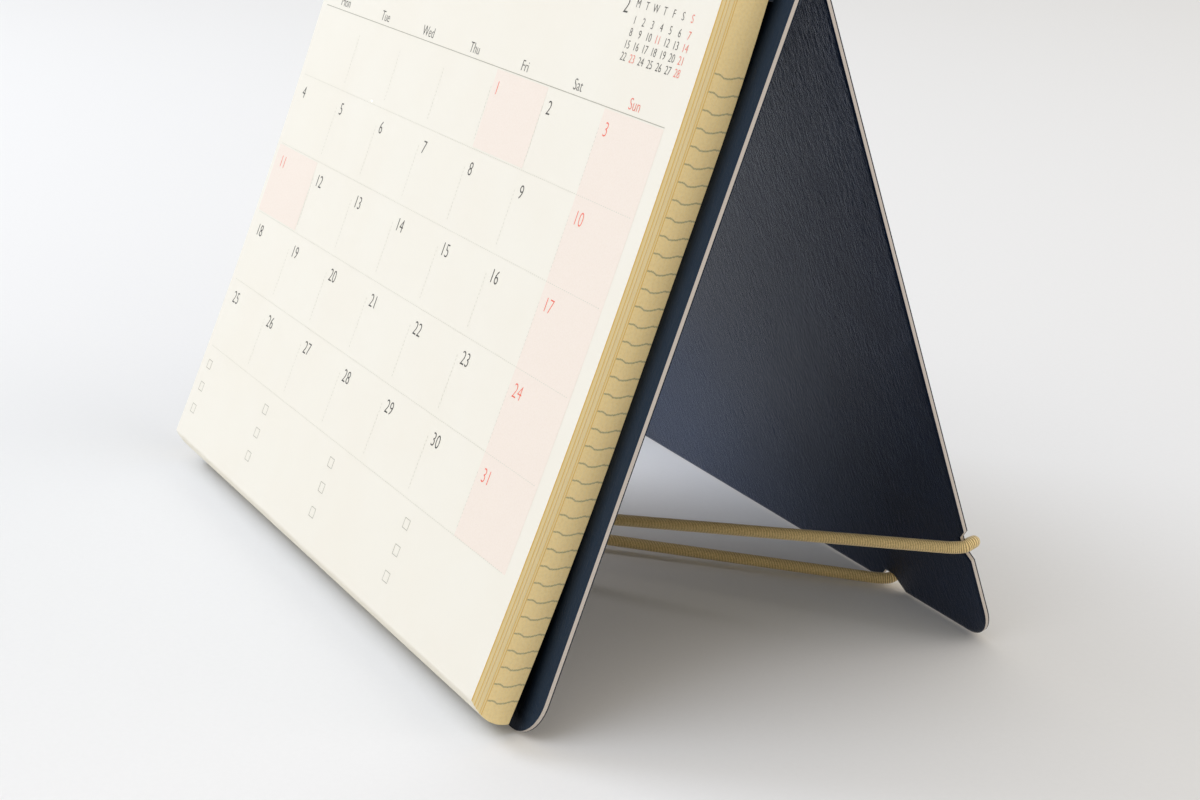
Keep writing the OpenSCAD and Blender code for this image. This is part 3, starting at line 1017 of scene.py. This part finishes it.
print("fittings: two eyelets and the clip")


stageLook = {
    "floor": "#EEEEEE", "floorDeep": "#EBEBEB", "far": "#EDECEC", "size": 6.0, "under": 0.0002,
    "ambient": "#F7F2E7", "ambientStrength": 0.67,
}


def stageFloor():
    material, tree, shader = newMaterial("paperSweep", 0.9)
    shader.inputs["Specular IOR Level"].default_value = 0.2
    clouds = objectNoise(tree, (1, 1, 1), 700, 2.0)
    tree.links.new(mixColours(tree, clouds.outputs["Fac"], linear(stageLook["floor"]), linear(stageLook["floorDeep"])),
                   shader.inputs["Base Color"])
    bpy.ops.mesh.primitive_plane_add(size=stageLook["size"], location=(0, 0, -stageLook["under"]))
    floor = bpy.context.object
    floor.name = "floor"
    floor.data.materials.append(material)
    floor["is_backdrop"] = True


stageFloor()

world = bpy.data.worlds.new("studio")
bpy.context.scene.world = world
world.use_nodes = True
tree = world.node_tree
background = tree.nodes["Background"]
background.inputs["Color"].default_value = linear(stageLook["ambient"])
background.inputs["Strength"].default_value = stageLook["ambientStrength"]
seen = addNode(tree, "ShaderNodeBackground", {"Color": linear(stageLook["far"]), "Strength": 1.0})
path = addNode(tree, "ShaderNodeLightPath")
either = maths(tree, "MAXIMUM", path.outputs["Is Camera Ray"], path.outputs["Is Glossy Ray"])
either = maths(tree, "MAXIMUM", either, path.outputs["Is Transmission Ray"])
mix = addNode(tree, "ShaderNodeMixShader", {0: either, 1: background.outputs[0], 2: seen.outputs[0]})
tree.links.new(mix.outputs[0], tree.nodes["World Output"].inputs["Surface"])

middlePlace = (0, 0, 0.05)
# the two bounce lamps stand inside the tent, for the light that comes in through its far end
lamps = {
    "key": {"from": (-1.2, -0.8, 1.15), "to": middlePlace, "size": 0.65, "power": 12.6, "colour": (0.79, 0.865, 1)},
    "front": {"from": (-0.5, -2, 0.4), "to": middlePlace, "size": 1.2, "power": 2, "colour": (1, 0.9, 0.7)},
    "top": {"from": (0, -1, 2.2), "to": middlePlace, "size": 2, "power": 17.2, "colour": (0.71, 0.805, 1)},
    "fill": {"from": (1.7, 0.2, 0.6), "to": middlePlace, "size": 1.6, "power": 2.6, "colour": (1, 0.8, 0.45)},
    "back": {"from": (1.2, 1.8, 1), "to": middlePlace, "size": 1.6, "power": 9, "colour": (1, 0.88, 0.84)},
    "bounce": {"from": (-0.05, 0, 0.115), "to": (-0.06, 0.01, 0), "size": 0.04, "power": 0.018,
               "colour": (1, 0.96, 0.97), "spread": 120},
    "bounceLow": {"from": (-0.115, -0.02, 0.035), "to": (-0.05, 0.05, 0.03), "size": 0.04, "power": 0.018,
                  "colour": (0.95, 0.97, 1), "spread": 60},
}
for name, lamp in lamps.items():
    data = bpy.data.lights.new(name, "AREA")
    data.size = lamp["size"]
    data.spread = math.radians(lamp.get("spread", 180))
    data.energy = lamp["power"]
    data.color = lamp["colour"]
    light = bpy.data.objects.new(name, data)
    bpy.context.scene.collection.objects.link(light)
    light.location = lamp["from"]
    light.rotation_euler = (Vector(lamp["to"]) - Vector(lamp["from"])).to_track_quat("-Z", "Y").to_euler()

view = {
    "place": (522.8, -263.1, 228.4), "ahead": (-0.8398, 0.4477, -0.3072), "up": (-0.2775, 0.1324, 0.9516),
    "lens": 70, "sensor": 36,
}
cameraData = bpy.data.cameras.new("camera")
cameraData.lens = view["lens"]
cameraData.sensor_width = view["sensor"]
cameraData.clip_start, cameraData.clip_end = 0.01, 50
camera = bpy.data.objects.new("camera", cameraData)
bpy.context.scene.collection.objects.link(camera)
ahead = Vector(view["ahead"]).normalized()
up = (Vector(view["up"]) - ahead * Vector(view["up"]).dot(ahead)).normalized()
right = ahead.cross(up)
turn = Matrix((right, up, -ahead)).transposed().to_4x4()
camera.matrix_world = Matrix.Translation(Vector(view["place"]) * mm) @ turn
bpy.context.scene.camera = camera
print("stage: floor, lamps and camera")

low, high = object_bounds()
